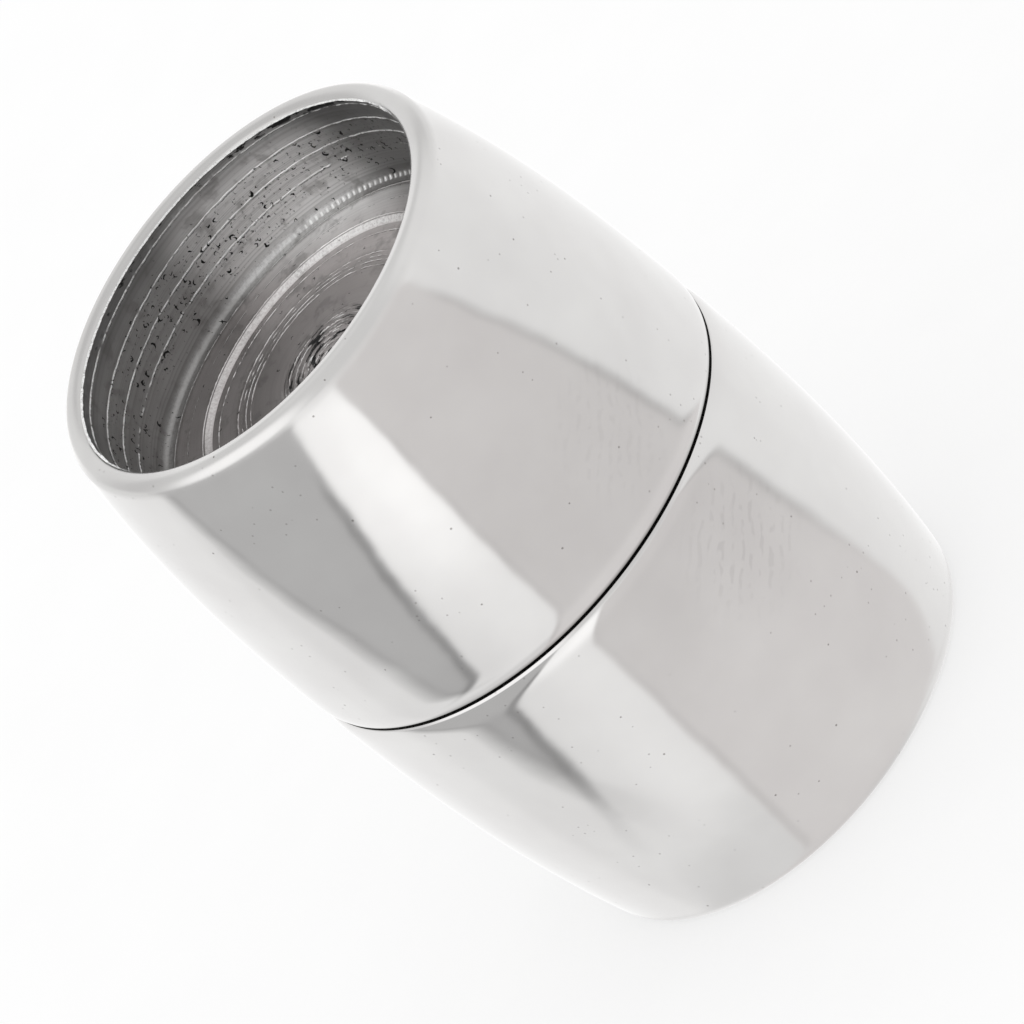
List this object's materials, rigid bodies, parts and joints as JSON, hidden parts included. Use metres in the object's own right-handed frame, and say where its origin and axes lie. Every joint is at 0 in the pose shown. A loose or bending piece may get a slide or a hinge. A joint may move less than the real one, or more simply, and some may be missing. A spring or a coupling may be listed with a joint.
{
  "type": "magnetic clasp",
  "caption": "Barrel-shaped magnetic clasp of polished steel that pulls apart at a middle seam, with a blind round hole in each end for a glued-in cord.",
  "frame": {"origin": "middle of the lower half's rim, on the surface that the clasp stands on", "axes": "+Z along the clasp's axis, from the lower half to the upper half"},
  "size_m": [0.0126, 0.0126, 0.0178],
  "materials": {
    "polished_steel": "mirror polished outside, as turned in the holes",
    "nickel_plate": "bright nickel plating"
  },
  "bodies": {
    "lower_half": {"lower_shell": "polished_steel", "lower_magnet": "nickel_plate"},
    "upper_half": {"upper_shell": "polished_steel", "upper_magnet": "nickel_plate"}
  },
  "joints": [
    {"name": "pull_apart", "type": "slide", "parent": "lower_half", "child": "upper_half", "axis": [0, 0, 1], "range_m": [0, 0.008]}
  ]
}
